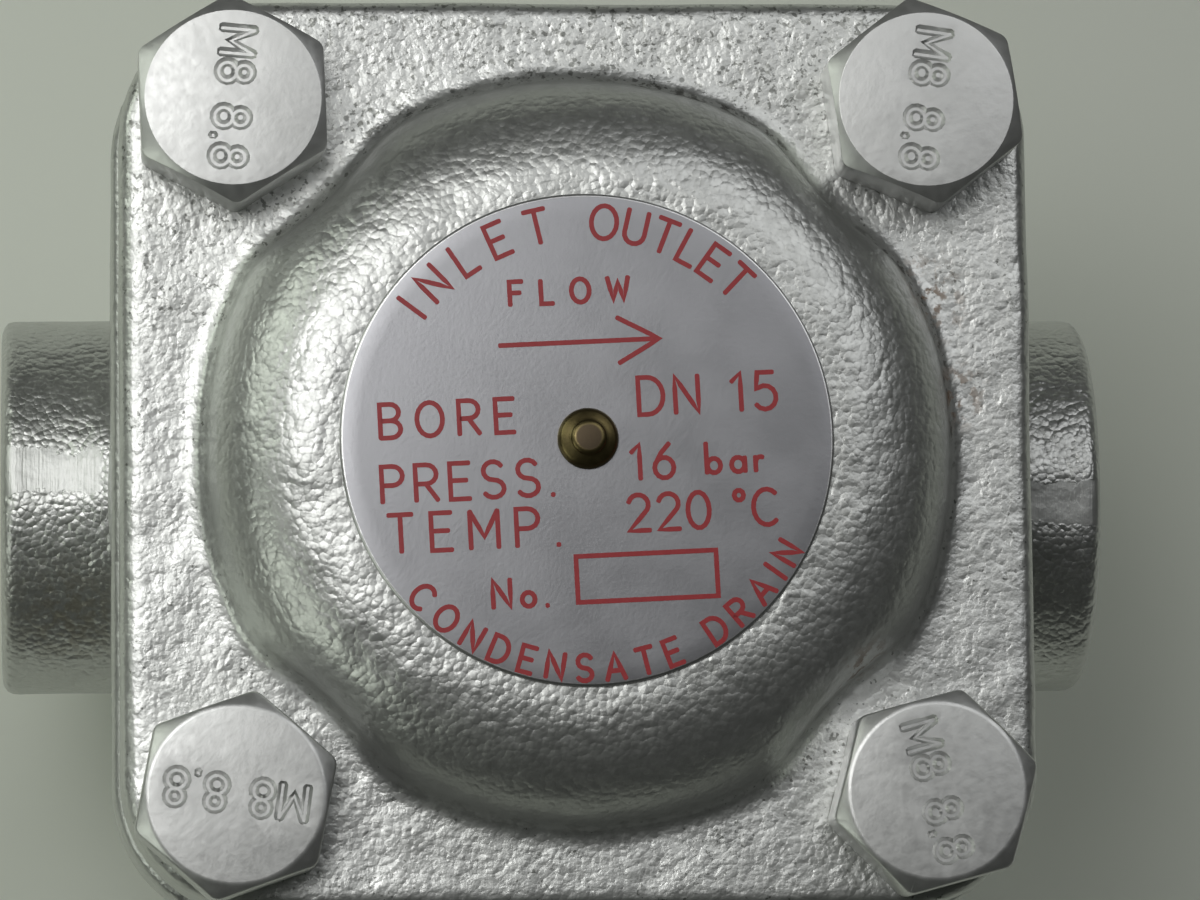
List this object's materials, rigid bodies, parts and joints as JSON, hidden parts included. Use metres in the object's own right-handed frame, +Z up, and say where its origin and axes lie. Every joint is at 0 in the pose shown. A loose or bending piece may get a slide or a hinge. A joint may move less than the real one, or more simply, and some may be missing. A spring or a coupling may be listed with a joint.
{
  "type": "steam trap",
  "caption": "Square-flanged disc steam trap with in-line screwed sockets, bolted domed cover, round plate and a strainer plug below.",
  "frame": {"origin": "on the valve axis, at the flat underside of the strainer plug, which is the lowest point", "axes": "+Z up along the valve axis, +X along the ports from inlet to outlet, +Y across"},
  "size_m": [0.082, 0.066, 0.0843],
  "materials": {
    "cast_paint": "ductile iron sand casting under heat-resistant aluminium paint, pitted and slightly gritty",
    "painted_steel": "forged carbon steel under the same aluminium paint, smooth",
    "gasket_sheet": "compressed fibre and graphite sheet, matt brown-black",
    "plate_aluminium": "satin aluminium with red print",
    "pin_brass": "polished, slightly tarnished",
    "stainless": "machined stainless steel, lapped on the lands",
    "bimetal": "rolled bimetal strip, straw-tinted by heat",
    "copper": "annealed copper, dull"
  },
  "bodies": {
    "housing": {"body": "cast_paint", "cover": "cast_paint", "cover_gasket": "gasket_sheet", "cover_bolt_1": "painted_steel", "cover_bolt_2": "painted_steel", "cover_bolt_3": "painted_steel", "cover_bolt_4": "painted_steel", "nameplate": "plate_aluminium", "nameplate_pin": "pin_brass", "inner_cap": "stainless", "valve_seat": "stainless", "seat_gasket_inner": "gasket_sheet", "seat_gasket_outer": "gasket_sheet", "strainer_screen": "stainless", "screen_top_ring": "stainless", "screen_bottom_ring": "stainless", "strainer_plug": "painted_steel", "plug_gasket": "copper"},
    "disc": {"valve_disc": "stainless"},
    "air_vent_ring": {"bimetal_ring": "bimetal"}
  },
  "joints": [
    {"name": "disc_lift", "type": "slide", "parent": "housing", "child": "disc", "axis": [0, 0, 1], "range_m": [0, 0.0008]},
    {"name": "ring_lift", "type": "slide", "parent": "housing", "child": "air_vent_ring", "axis": [0, 0, 1], "range_m": [0, 0.0008]}
  ],
  "couplings": [
    {"joint": "ring_lift", "follows": "disc_lift", "ratio": 1}
  ]
}
